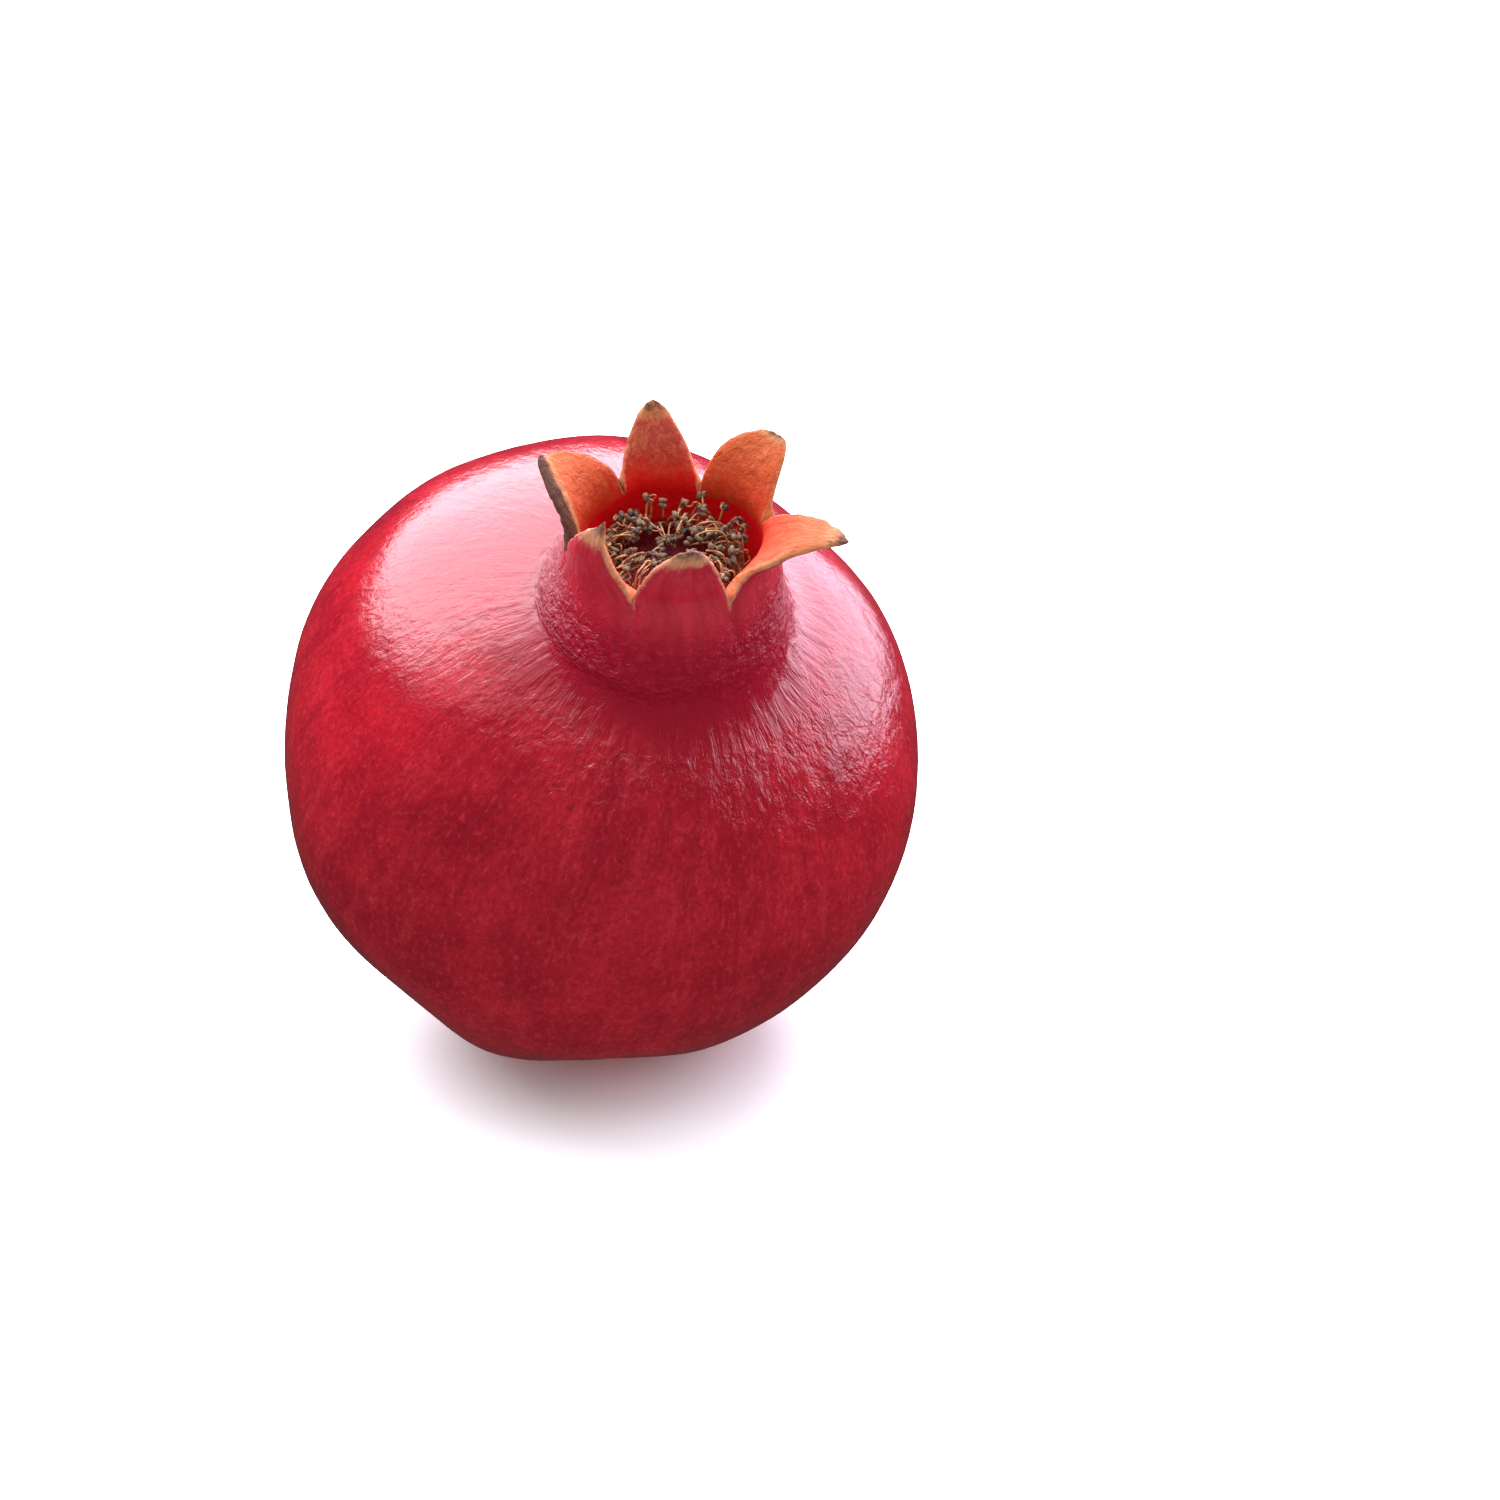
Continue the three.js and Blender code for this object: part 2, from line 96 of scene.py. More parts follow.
SEAM_FULL = 0.8

# The azimuth of each notch between sepals, and its height above the rim's plane.
NOTCHES = [(13.6, -0.9), (74, -2.7), (122, -0.4), (185.5, -0.6), (250, 0.7), (303, -1.3)]

# One sepal after each notch: the bend and the tip of its spine, each as out from the rim and up
# from it, how far the tip leans sideways, how fast the sepal narrows, and how late.
SEPALS = [
    {"bend": (1, 6), "tip": (4.4, 9.9), "sideways": -3.6, "taper": 0.48, "shoulder": 1.6},
    {"bend": (1, 6), "tip": (3, 12), "sideways": -0.5, "taper": 0.62, "shoulder": 1.3},
    {"bend": (-0.9, 7), "tip": (6, 9.8), "sideways": 0.7, "taper": 0.7, "shoulder": 1.7},
    {"bend": (0.9, 7), "tip": (-1.5, 12.5), "sideways": 3.1, "taper": 1.15, "shoulder": 1.3},
    {"bend": (1.8, 6), "tip": (2.5, 11.6), "sideways": 1.8, "taper": 0.52, "shoulder": 1.4},
    {"bend": (4.6, 7.2), "tip": (13.6, 7), "sideways": -0.7, "taper": 0.64, "shoulder": 0.68},
]
SEPAL_FLATTENING = 0.8
TIP_WALL_SHARE = 0.62
SEPAL_SETTLING = 0.35  # the share of its height over which a sepal leaves the tube's line
EDGE_THINNING = 0.25  # the share of its height over which its edges become thin

# A dry edge has faded out at so many times its width, and a brown tip at so many times its length.
EDGE_FADING = 1.6
TIP_FADING = 1.7
NOTCH_RUST = 0.5  # how dry the tube is just below each notch
NOTCH_RUST_START = 0.7  # the share of the tube's length at which that begins

# How each sepal has dried: how orange it is inside, from 0 to 1, how much of its length is brown at
# the tip, how many millimetres are dry along the edge at its lower and its higher azimuth, and
# how brown those edges are. At 1 they are brown, and above 1 the brown reaches further in.
SEPAL_LOOKS = [
    {"gold": 0.8, "tip": 0.12, "low_edge": 0.4, "high_edge": 0.4, "edge_rust": 0.5},
    {"gold": 0.4, "tip": 0.2, "low_edge": 0.4, "high_edge": 0.5, "edge_rust": 0.5},
    {"gold": 0.7, "tip": 0.1, "low_edge": 0.4, "high_edge": 2.6, "edge_rust": 1.5},
    {"gold": 0.4, "tip": 0.34, "low_edge": 0.5, "high_edge": 0.8, "edge_rust": 0.55},
    {"gold": 0.5, "tip": 0.22, "low_edge": 0.6, "high_edge": 0.6, "edge_rust": 0.5},
    {"gold": 0.75, "tip": 0.2, "low_edge": 0.8, "high_edge": 0.4, "edge_rust": 0.5},
]

PIECE_GAP = 0.4
DISH_THICKNESS = 1
STUB_LENGTH = 5
STUB_RADIUS = 2.7
STUB_FOOT_RADIUS = 3.9

# How finely the surfaces are cut.
COLUMNS_PER_SEPAL = 50
BODY_ROWS = 130
SHOULDER_ROWS = 20
TUBE_ROWS = 16
SEPAL_ROWS = 30
CUP_ROWS = 10
FLOOR_ROWS = 5
ROW_CROWDING = 1.2  # above 1, a sepal's rows crowd towards the rim
BODY_ROW_CROWDING = 0.9  # below 1, the body's rows crowd towards the shoulder
DISH_SIDES = 96
DISH_ROWS = 12
STUB_SIDES = 72
STUB_ROWS = 10
THREAD_SIDES = 6
ANTHER_SIDES = 7
ANTHER_POINTS = 9

# The skin's relief in layers, each as the size of its lumps, its depth and the seed of its noise:
# all over the body, on the crown, on the upper half of the sepals, and where the skin is dry.
BODY_RELIEF = [(14, 0.22, 3), (5, 0.05, 7)]
CROWN_RELIEF = [(3, 0.1, 11)]
SEPAL_RELIEF = [(1.4, 0.16, 37)]
DRY_RELIEF = [(0.9, 0.22, 13), (2, 0.15, 17)]

# Folds run from the shoulder down the body, deepest on the side towards (FRONT_EAST, FRONT_NORTH),
# and wrinkles cross the tube's foot.
FRONT_EAST = 0.5
FRONT_NORTH = -0.85
FOLD_RELIEF = [(1.5, 1, 19), (0.8, 0.5, 23)]
FOLD_DEPTHS = (0.06, 0.19)  # behind and in front
FOLD_REACH = (66, 112)  # millimetres from the stem at which they begin and have their full depth
FOLD_STRETCH = 0.5
FOLD_WARP = 0.5
FOLD_WARP_SIZE = 2.5
FOLD_WARP_SEED = 31
WRINKLE_SIZE = 1.4
WRINKLE_DEPTH = 0.3
WRINKLE_SEED = 29
WRINKLE_STRETCH = (0.5, 0.5, 1.6)

# The stamens. A pair is a range that each one draws from, apart from the radii at a thread's ends.
STAMEN_COUNT = 130
STAMEN_SEED = 5
STAMEN_FOOT = (5.6, 9.5)  # where it leaves the cup, along the centreline
STAMEN_HEIGHT = (13.3, 16.4)
STAMEN_REACH = (1.4, 10.6)  # from the centreline to its end
STAMEN_SWING = 0.35
STAMEN_CURL = (0.15, 0.4)
STAMEN_TURNS = (1.2, 2.6)
THREAD_RADII = (0.17, 0.12)
THREAD_POINTS = 26
ANTHER_LENGTH = (1.1, 1.6)
ANTHER_WIDTH = (0.65, 0.9)
LOBE_BOW = 0.16  # share of the anther's length
LOBE_OFFSET = 0.42  # share of its width, as is the radius
LOBE_RADIUS = 0.5
LOBE_END = 0.02

# The stub's ribs, each as how many go round, their height as a share of the radius and their turn,
# and its cut end as rings: a share of the radius, and how far each is sunk.
STUB_RIBS = [(5, 0.05, 0.7), (13, 0.025, 0)]
STUB_END = [(0.2, 0.22), (0.55, 0.08), (0.85, 0)]
STUB_MIDDLE_SUNK = 0.25
STUB_BEVEL = 0.2

# The radius at which noise on the skin has its true width.
SKIN_RADIUS = 30

COLUMNS = COLUMNS_PER_SEPAL * len(SEPALS)
NEARBY = 0.01  # a small step that gives the direction of a curve at its end
UP = np.array([0.0, 0.0, 1.0])
OBLIQUE = [0.3, 0.5, 0.81]  # crossed with a thread's heading, it gives a direction across it


# Directions and frames

def unit(v):
    """Vectors at length 1."""
    v = np.asarray(v, float)
    return v / np.linalg.norm(v, axis=-1, keepdims=True)


def leaning(lean_and_way):
    """The direction that leans from upright by an angle, towards an azimuth, both in degrees."""
    lean, way = np.radians(lean_and_way)
    return np.array([np.sin(lean) * np.cos(way), np.sin(lean) * np.sin(way), np.cos(lean)])


def rotate(v, axis, angle):
    """Turns vectors about a unit axis."""
    v, angle = np.asarray(v, float), np.asarray(angle, float)
    c, s = np.cos(angle)[..., None], np.sin(angle)[..., None]
    return v * c + np.cross(axis, v) * s + axis * (v @ axis)[..., None] * (1 - c)


def smooth(x, low, high):
    """Eases from 0 to 1 while x goes from low to high."""
    t = np.clip((x - low) / (high - low), 0, 1)
    return t * t * (3 - 2 * t)


def mix(a, b, t):
    return a + (b - a) * t


def fruit_frame():
    """The fruit's own axes as columns, in the row frame: +Z runs along the body to the crown."""
    body, crown = leaning(BODY_AXIS), leaning(CROWN_AXIS)
    right = unit(np.array([1.0, 0, 0]) - crown * crown[0])
    turn = np.arccos(body @ crown)
    right = rotate(right, unit(np.cross(crown, body)), turn)
    return np.stack([right, np.cross(body, right), body], axis=1)


FRUIT = fruit_frame()
CROWN = leaning(CROWN_AXIS) @ FRUIT  # the crown's axis in the fruit's frame
BEND = np.arccos(CROWN[2])
BEND_AXIS = unit(np.cross(UP, CROWN))
BEND_SIDE = unit(CROWN * [1, 1, 0])


def to_row(points):
    """From the fruit's frame to the row frame, still in millimetres."""
    return points @ FRUIT.T + [0, 0, REST_HEIGHT]


def centreline(along):
    """Points and axes along the crown's bent centreline, and how far it has turned there."""
    along = np.asarray(along, float)
    turn = BEND * np.minimum(along / RIM_ALONG, 1)
    arc = RIM_ALONG / BEND
    axis = rotate(np.broadcast_to(UP, turn.shape + (3,)), BEND_AXIS, turn)
    origin = UP * (TUBE_FOOT + arc * np.sin(turn))[..., None]
    origin = origin + BEND_SIDE * (arc * (1 - np.cos(turn)))[..., None]
    origin = origin + axis * np.maximum(along - RIM_ALONG, 0)[..., None]
    return origin, axis, turn


def around(along, azimuth, radius):
    """Points at a radius from the crown's centreline, square to it."""
    along, azimuth, radius = np.broadcast_arrays(along, azimuth, radius)
    origin, _, turn = centreline(along)
    outward = np.stack([np.cos(azimuth), np.sin(azimuth), 0 * azimuth], -1)
    return origin + rotate(outward, BEND_AXIS, turn) * radius[..., None]


# The body

def body_point(azimuth, polar):
    """The skin of the body. The polar angle is 0 at the crown and pi at the stem."""
    azimuth, polar = np.broadcast_arrays(azimuth, polar)
    s, c = np.sin(polar), np.cos(polar)
    half = np.where(c > 0, CROWN_HALF_HEIGHT, STEM_HALF_HEIGHT)
    n = BODY_SQUARENESS
    radius = ((s / BODY_RADIUS) ** n + np.abs(c / half) ** n) ** (-1 / n)
    towards = np.stack([s * np.cos(azimuth), s * np.sin(azimuth), c], -1)
    share = 1 + RIB_SHARE * s * s * np.cos(RIB_COUNT * (azimuth - np.radians(RIB_AZIMUTH)))
    for a, p, amount, spread in SWELLINGS:
        a, p = np.radians([a, p])
        middle = np.array([np.sin(p) * np.cos(a), np.sin(p) * np.sin(a), np.cos(p)])
        away = np.arccos(np.clip(towards @ middle, -1, 1)) / np.radians(spread)
        share = share + amount * np.exp(-away * away)
    radius = radius * share
    radius = radius - DIMPLE_DEPTH * np.exp(-(((np.pi - polar) / np.radians(DIMPLE_SPREAD)) ** 2))
    return towards * radius[..., None]


# The crown's tube

def column_place(columns):
    """The sepal that holds each column, and how far across it the column is, from -1 to 1."""
    sepal, step = np.divmod(columns, COLUMNS_PER_SEPAL)
    return sepal, np.sin((step / COLUMNS_PER_SEPAL * 2 - 1) * np.pi / 2)


NOTCH_AZIMUTHS = np.radians([a for a, _ in NOTCHES] + [NOTCHES[0][0] + 360])
NOTCH_LIFTS = np.array([lift for _, lift in NOTCHES] + [NOTCHES[0][1]])
sepal_of, across_of = column_place(np.arange(COLUMNS))
AZIMUTH = mix(NOTCH_AZIMUTHS[sepal_of], NOTCH_AZIMUTHS[sepal_of + 1], (across_of + 1) / 2)
LIFT = mix(NOTCH_LIFTS[sepal_of], NOTCH_LIFTS[sepal_of + 1], (across_of + 1) / 2)
CREASE = np.exp(-(((1 - np.abs(across_of)) / SEAM_WIDTH) ** 2))
BULGE = ((1 + np.cos(AZIMUTH - np.radians(FOOT_AZIMUTH))) / 2) ** FOOT_NARROWING


def tube_point(share, side):
    """The tube's outer face (side 1) or inner face (side -1), from the neck at 0 to the rim at 1."""
    flare = (1 - share) ** FLARE_POWER
    bulge = BULGE * flare if side > 0 else 0.0
    along = mix(NECK_ALONG, RIM_ALONG + LIFT, share) - FOOT_DROP * bulge
    wall = mix(RIM_WALL, NECK_WALL, flare)
    radius = mix(RIM_RADIUS, NECK_RADIUS, flare) + side * wall / 2 + FOOT_BULGE * bulge
    if side > 0:
        radius = radius - SEAM_DEPTH * CREASE * smooth(share, SEAM_START, SEAM_FULL)
    return around(along, AZIMUTH, radius)


def shoulder_point(share):
    """The fillet where the body turns up into the tube."""
    polar = np.radians(SHOULDER_POLAR)
    start = body_point(AZIMUTH, polar)
    pull = start + unit(body_point(AZIMUTH, polar - NEARBY) - start) * SHOULDER_HANDLE
    end = tube_point(0, 1)
    neck_handle = mix(NECK_HANDLE, FOOT_HANDLE, BULGE)[:, None]
    push = end + unit(end - tube_point(NEARBY, 1)) * neck_handle
    t, u = share, 1 - share
    return u**3 * start + 3 * u * u * t * pull + 3 * u * t * t * push + t**3 * end


def cup_point(azimuth, share, inset=0.0):
    """The cup inside the tube, or a surface inset from it, from the neck at 0 to the floor at 1."""
    turn = share * np.pi / 2
    along = mix(NECK_ALONG, FLOOR_ALONG + inset, np.sin(turn))
    radius = mix(FLOOR_RADIUS, NECK_RADIUS - NECK_WALL / 2 - inset, np.cos(turn))
    return around(along, azimuth, radius)


# The sepals

def half_width(sepal, up):
    """Half of a sepal's width at a share of its height."""
    plan = SEPALS[sepal]
    at_rim = RIM_RADIUS * (NOTCH_AZIMUTHS[sepal + 1] - NOTCH_AZIMUTHS[sepal]) / 2
    return at_rim * (1 - up ** plan["shoulder"]) ** plan["taper"]


def sepal_point(sepal, across, up, side):
    """A sepal's outer face (side 1), inner face (side -1) or middle (side 0)."""
    plan = SEPALS[sepal]
    start, end = NOTCH_AZIMUTHS[sepal : sepal + 2]
    low, high = NOTCH_LIFTS[sepal : sepal + 2]
    knots = np.array([(0, (low + high) / 2), plan["bend"], plan["tip"]], float)
    out, height = (1 - up) ** 2 * knots[0] + 2 * up * (1 - up) * knots[1] + up * up * knots[2]
    heading = 2 * (1 - up) * (knots[1] - knots[0]) + 2 * up * (knots[2] - knots[1])
    settled = smooth(up, 0, SEPAL_SETTLING)
    lean = np.arctan2(heading[0], heading[1]) * settled
    curl = RIM_RADIUS * (1 + SEPAL_FLATTENING * up * settled)
    turn = across * half_width(sepal, up) / curl
    edge = mix(1, np.sqrt(1 - across**4), smooth(up, 0, EDGE_THINNING)) * np.sqrt(1 - up**6)
    wall = mix(RIM_WALL, RIM_WALL * TIP_WALL_SHARE, up) * edge
    radius = curl + side * wall / 2
    points = np.stack([
        RIM_RADIUS + out * settled + (radius * np.cos(turn) - curl) * np.cos(lean),
        radius * np.sin(turn) + plan["sideways"] * up * up,
        height + (curl - radius * np.cos(turn)) * np.sin(lean) + (high - low) / 2 * across * (1 - up),
    ], -1)
    origin, _, bent = centreline(RIM_ALONG)
    points = rotate(points, UP, np.full(len(points), (start + end) / 2))
    return origin + rotate(points, BEND_AXIS, np.full(len(points), bent))


# Meshes

class Surface:
    """Points in millimetres in the fruit's frame, faces, and named marks for the materials."""

    def __init__(self, *marks):
        self.points = []
        self.faces = []
        self.materials = []
        self.material = 0
        self.marks = {name: [] for name in marks}

    def add(self, points, **marks):
        """Adds a row of points and returns their numbers."""
        points = np.atleast_2d(points)
        first = len(self.points)
        self.points.extend(points)
        for name, values in self.marks.items():
            values.extend(np.broadcast_to(marks.get(name, 0.0), len(points)))
        return np.arange(first, first + len(points))

    def pole(self, count, point, **marks):
        """A ring whose points are all one."""
        return np.full(count, self.add(point, **marks)[0])

    def face(self, *corners):
        """A face in the current material. Corners that are one point count once."""
        corners = list(dict.fromkeys(int(c) for c in corners))
        if len(corners) > 2:
            self.faces.append(corners)
            self.materials.append(self.material)

    def band(self, lower, upper, closed):
        """Four-sided faces between two rows of points."""
        count = len(lower) if closed else len(lower) - 1
        for i in range(count):
            j = (i + 1) % len(lower)
            self.face(lower[i], lower[j], upper[j], upper[i])

    def stack(self, rings):
        """Closed bands between each ring and the next."""
        for lower, upper in zip(rings, rings[1:]):
            self.band(lower, upper, True)

    def object(self, name):
        """The scene's object, in metres in the row frame, with each mark as an attribute."""
        mesh = bpy.data.meshes.new(name)
        mesh.from_pydata(to_row(np.array(self.points)) * MM, [], self.faces)
        for mark, values in self.marks.items():
            mesh.attributes.new(mark, "FLOAT", "POINT").data.foreach_set(
                "value", np.array(values, np.float32))
        mesh.polygons.foreach_set("material_index", self.materials)
        mesh.shade_smooth()
        mesh.update()
        made = bpy.data.objects.new(name, mesh)
        bpy.context.scene.collection.objects.link(made)
        return made


# The fruit. Marks: east and north give the azimuth and along the way from the stem, in millimetres,
# crown rises from -1 at the shoulder to 0 at the neck, 1 at the rim and 2 at a sepal's tip, gold is
# how orange a sepal is, and rust how brown and dry it is.

BODY_MIDDLE_RADIUS = 47
SHOULDER_ALONG = (np.pi - np.radians(SHOULDER_POLAR)) * BODY_MIDDLE_RADIUS
CROWN_STEP = 9.0

# The fruit's two materials: the rind, and the lining of its crown.
OUTSIDE = 0
LINING = 1


def ring_marks(azimuth, crown=-1.0, **marks):
    """The marks of a ring of the fruit. One on the body sets its own along."""
    along = SHOULDER_ALONG + (crown + 1) * CROWN_STEP
    return {"east": np.cos(azimuth), "north": np.sin(azimuth), "along": along, "crown": crown, **marks}


def rust_of_sepal(sepal, across, up):
    """How brown and dry a row of a sepal is, at its edges and towards its tip."""
    look = SEPAL_LOOKS[sepal]
    width = half_width(sepal, up)
    low_edge = 1 - smooth(width * (1 + across), 0, EDGE_FADING * look["low_edge"])
    high_edge = 1 - smooth(width * (1 - across), 0, EDGE_FADING * look["high_edge"])
    tip = smooth(up, 1 - TIP_FADING * look["tip"], 1)
    return np.maximum(np.maximum(low_edge, high_edge) * look["edge_rust"], tip)


def add_sepal(surface, sepal, outer_rim, inner_rim):
    """A sepal's two faces grow from the rim row by row. They share the points along its edges."""
    n = COLUMNS_PER_SEPAL
    gold = SEPAL_LOOKS[sepal]["gold"]
    across = np.sin((2 * np.arange(n + 1) / n - 1) * np.pi / 2)
    azimuth = mix(NOTCH_AZIMUTHS[sepal], NOTCH_AZIMUTHS[sepal + 1], (across + 1) / 2)
    columns = (sepal * n + np.arange(n + 1)) % COLUMNS
    outer, inner = outer_rim[columns], inner_rim[columns]
    for row in range(1, SEPAL_ROWS):
        up = np.sin(row / SEPAL_ROWS * np.pi / 2) ** ROW_CROWDING
        marks = ring_marks(azimuth, 1 + up, gold=gold, rust=rust_of_sepal(sepal, across, up))
        outer_next = surface.add(sepal_point(sepal, across, up, 1), **marks)
        within = {name: value[1:-1] if np.ndim(value) else value for name, value in marks.items()}
        middles = surface.add(sepal_point(sepal, across[1:-1], up, -1), **within)
        inner_next = np.concatenate([outer_next[:1], middles, outer_next[-1:]])
        if row == 1:
            surface.face(inner[0], outer[0], outer_next[0])
            surface.face(outer[-1], inner[-1], outer_next[-1])
        surface.band(outer, outer_next, False)
        surface.material = LINING
        surface.band(inner_next, inner, False)
        surface.material = OUTSIDE
        outer, inner = outer_next, inner_next
    middle = (NOTCH_AZIMUTHS[sepal] + NOTCH_AZIMUTHS[sepal + 1]) / 2
    tip = surface.pole(n + 1, sepal_point(sepal, np.zeros(1), 1.0, 0),
                       **ring_marks(middle, 2.0, gold=gold, rust=1.0))
    surface.band(outer, tip, False)
    surface.material = LINING
    surface.band(tip, inner, False)
    surface.material = OUTSIDE


def fruit_surface():
    """The skin from the stem up to the rim, the lining from the rim down into the cup, the sepals."""
    surface = Surface("east", "north", "along", "crown", "gold", "rust")
    rings = [surface.pole(COLUMNS, body_point(0.0, np.pi), crown=-1.0)]
    for row in range(1, BODY_ROWS + 1):
        share = np.sin(row / BODY_ROWS * np.pi / 2) ** BODY_ROW_CROWDING
        polar = mix(np.pi, np.radians(SHOULDER_POLAR), share)
        marks = ring_marks(AZIMUTH)
        marks["along"] = (np.pi - polar) * BODY_MIDDLE_RADIUS
        rings.append(surface.add(body_point(AZIMUTH, polar), **marks))
    for row in range(1, SHOULDER_ROWS + 1):
        share = row / SHOULDER_ROWS
        rings.append(surface.add(shoulder_point(share), **ring_marks(AZIMUTH, share - 1)))
    for row in range(1, TUBE_ROWS + 1):
        share = row / TUBE_ROWS
        fringe = NOTCH_RUST * CREASE**2 * smooth(share, NOTCH_RUST_START, 1)
        rings.append(surface.add(tube_point(share, 1), **ring_marks(AZIMUTH, share, rust=fringe)))
    surface.stack(rings)

    gold = np.array([look["gold"] for look in SEPAL_LOOKS])[sepal_of]
    inner = []
    for row in range(TUBE_ROWS + 1):
        share = 1 - row / TUBE_ROWS
        marks = ring_marks(AZIMUTH, share, gold=gold * share**3)
        inner.append(surface.add(tube_point(share, -1), **marks))
    floor_marks = ring_marks(AZIMUTH, 0.0)
    for row in range(1, CUP_ROWS + 1):
        inner.append(surface.add(cup_point(AZIMUTH, row / CUP_ROWS), **floor_marks))
    for row in range(1, FLOOR_ROWS):
        radius = FLOOR_RADIUS * (1 - row / FLOOR_ROWS)
        inner.append(surface.add(around(FLOOR_ALONG, AZIMUTH, radius), **floor_marks))
    inner.append(surface.pole(COLUMNS, centreline(FLOOR_ALONG)[0]))
    surface.material = LINING
    surface.stack(inner)
    surface.material = OUTSIDE

    for sepal in range(len(SEPALS)):
        add_sepal(surface, sepal, rings[-1], inner[0])
    return surface


def relief(points, size, seed):
    """Smooth noise of about -1 to 1, with lumps of a size in the unit of the points."""
    return np.array([noise.noise(Vector(p) / size + Vector((seed, 0, 0))) for p in points])


def layered(points, layers):
    """The sum of several reliefs, each a size, a depth and a seed."""
    return sum(relief(points, size, seed) * depth for size, depth, seed in layers)


def read_mark(mesh, mark):
    """A mark's value at each of the mesh's points."""
    values = np.empty(len(mesh.vertices), np.float32)
    mesh.attributes[mark].data.foreach_get("value", values)
    return values.astype(float)


def shape_fruit(fruit):
    """Lets the skin rise and fall, wrinkles it towards the crown, and presses it flat where it rests."""
    mesh = fruit.data
    count = len(mesh.vertices)
    points = np.empty(count * 3)
    mesh.vertices.foreach_get("co", points)
    points = points.reshape(-1, 3)
    normals = np.empty(count * 3, np.float32)
    mesh.vertex_normals.foreach_get("vector", normals)
    normals = normals.reshape(-1, 3)
    east, north, along, crown, rust = (
        read_mark(mesh, mark) for mark in ("east", "north", "along", "crown", "rust"))

    millimetres = points / MM
    rise = mix(layered(millimetres, BODY_RELIEF), layered(millimetres, CROWN_RELIEF),
               smooth(crown, -0.3, 1))
    rise += layered(millimetres, SEPAL_RELIEF) * smooth(crown, 1.1, 1.6)
    rise += layered(millimetres, DRY_RELIEF) * np.minimum(rust, 1)

    # Folds along the body, with a little warp so that they aren't straight.
    down_skin = np.stack([east * SKIN_RADIUS, north * SKIN_RADIUS, along * FOLD_STRETCH], -1)
    down_skin += FOLD_WARP * relief(millimetres, FOLD_WARP_SIZE, FOLD_WARP_SEED)[:, None]
    folds = sum(np.abs(relief(down_skin, size, seed)) * depth for size, depth, seed in FOLD_RELIEF)
    near_shoulder = smooth(along, *FOLD_REACH) * (1 - smooth(crown, -0.6, 0.1))
    front = FRONT_EAST * east + FRONT_NORTH * north
    rise -= mix(*FOLD_DEPTHS, smooth(front, 0, 0.8)) * folds * near_shoulder

    # Wrinkles across the tube's foot.
    around_foot = np.stack([east * SKIN_RADIUS, north * SKIN_RADIUS, along], -1) * WRINKLE_STRETCH
    wrinkles = np.abs(relief(around_foot, WRINKLE_SIZE, WRINKLE_SEED))
    near_foot = smooth(crown, -1, -0.5) * (1 - smooth(crown, 0.5, 1))
    rise -= WRINKLE_DEPTH * wrinkles * near_foot

    points = points + normals * (rise * MM)[:, None]
    points[:, 2] = np.maximum(points[:, 2], 0)
    mesh.vertices.foreach_set("co", points.ravel())
    mesh.update()


# The stamens

def tube(surface, points, radii, sides, **marks):
    """A closed tube through points, pointed at both ends."""
    heading = unit(np.gradient(points, axis=0))
    across = unit(np.cross(heading[0], OBLIQUE))
    rings = [surface.pole(sides, points[0], **marks)]
    turns = np.arange(sides) / sides * 2 * np.pi
    for point, way, radius in zip(points[1:-1], heading[1:-1], radii[1:-1]):
        across = unit(across - way * (across @ way))
        other = np.cross(way, across)
        rings.append(surface.add(
            point + radius * (np.outer(np.cos(turns), across) + np.outer(np.sin(turns), other)),
            **marks))
    rings.append(surface.pole(sides, points[-1], **marks))
    surface.stack(rings)


def curve_through(knots, count):
    """Evenly timed points on a Catmull-Rom curve."""
    knots = np.array(knots, float)
    padded = np.vstack([2 * knots[0] - knots[1], knots, 2 * knots[-1] - knots[-2]])
    t = np.linspace(0, len(knots) - 1, count)
    i = np.minimum(t.astype(int), len(knots) - 2)
    f = (t - i)[:, None]
    a, b, c, d = (padded[i + k] for k in range(4))
    return 0.5 * (2 * b + (c - a) * f + (2 * a - 5 * b + 4 * c - d) * f**2
                  + (3 * b - a - 3 * c + d) * f**3)


def add_anther(surface, foot, way, across, length, width, tone):
    """Two plump lobes side by side on a thread's end, shrunken at the ends."""
    steps = np.linspace(-1, 1, ANTHER_POINTS)
    for side in (-1, 1):
        bow = LOBE_BOW * length * steps**2
        middle = foot + across * side * width * LOBE_OFFSET
        line = middle + np.outer(steps * length / 2, way) + np.outer(bow * side, across)
        radii = width * LOBE_RADIUS * np.sqrt(np.maximum(1 - steps**2, LOBE_END))
        tube(surface, line, radii, ANTHER_SIDES, tone=tone)


def curl_of(line, size, turns, start):
    """Offsets that wind a line into a loose corkscrew, growing from its root to its end."""
    heading = unit(np.gradient(line, axis=0))
    across = unit(np.cross(heading, OBLIQUE))
    share = np.linspace(0, 1, len(line))
    angle = (start + turns * 2 * np.pi * share)[:, None]
    wound = np.cos(angle) * across + np.sin(angle) * np.cross(heading, across)
    return wound * (size * share)[:, None]


